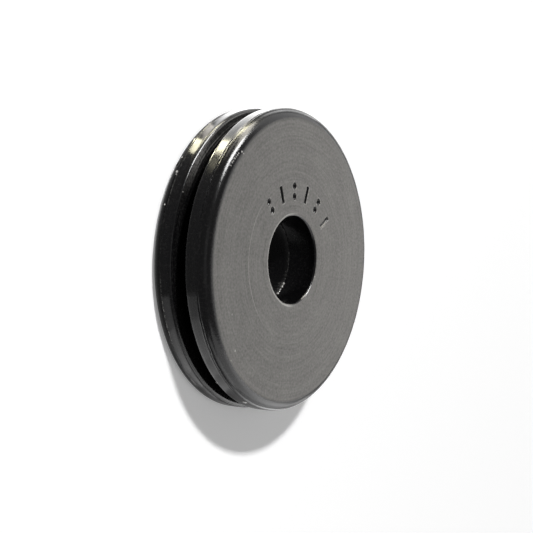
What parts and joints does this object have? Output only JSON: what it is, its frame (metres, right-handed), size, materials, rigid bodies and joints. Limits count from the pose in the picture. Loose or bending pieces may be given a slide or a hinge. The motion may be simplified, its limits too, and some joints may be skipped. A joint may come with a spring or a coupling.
{
  "type": "rubber grommet",
  "caption": "Round black rubber grommet with two equal rounded flanges, a narrow panel groove between them and a plain cable hole through the middle.",
  "frame": {"origin": "centre of the back face, on the axis of the cable hole", "axes": "+Z along the cable hole, from the back face to the front face; +Y towards the moulded marks on the front face"},
  "size_m": [0.032, 0.0318, 0.0067],
  "materials": {
    "black_rubber": "satin turned faces, glossy rim and hole"
  },
  "bodies": {
    "root": {"grommet": "black_rubber"}
  },
  "joints": []
}
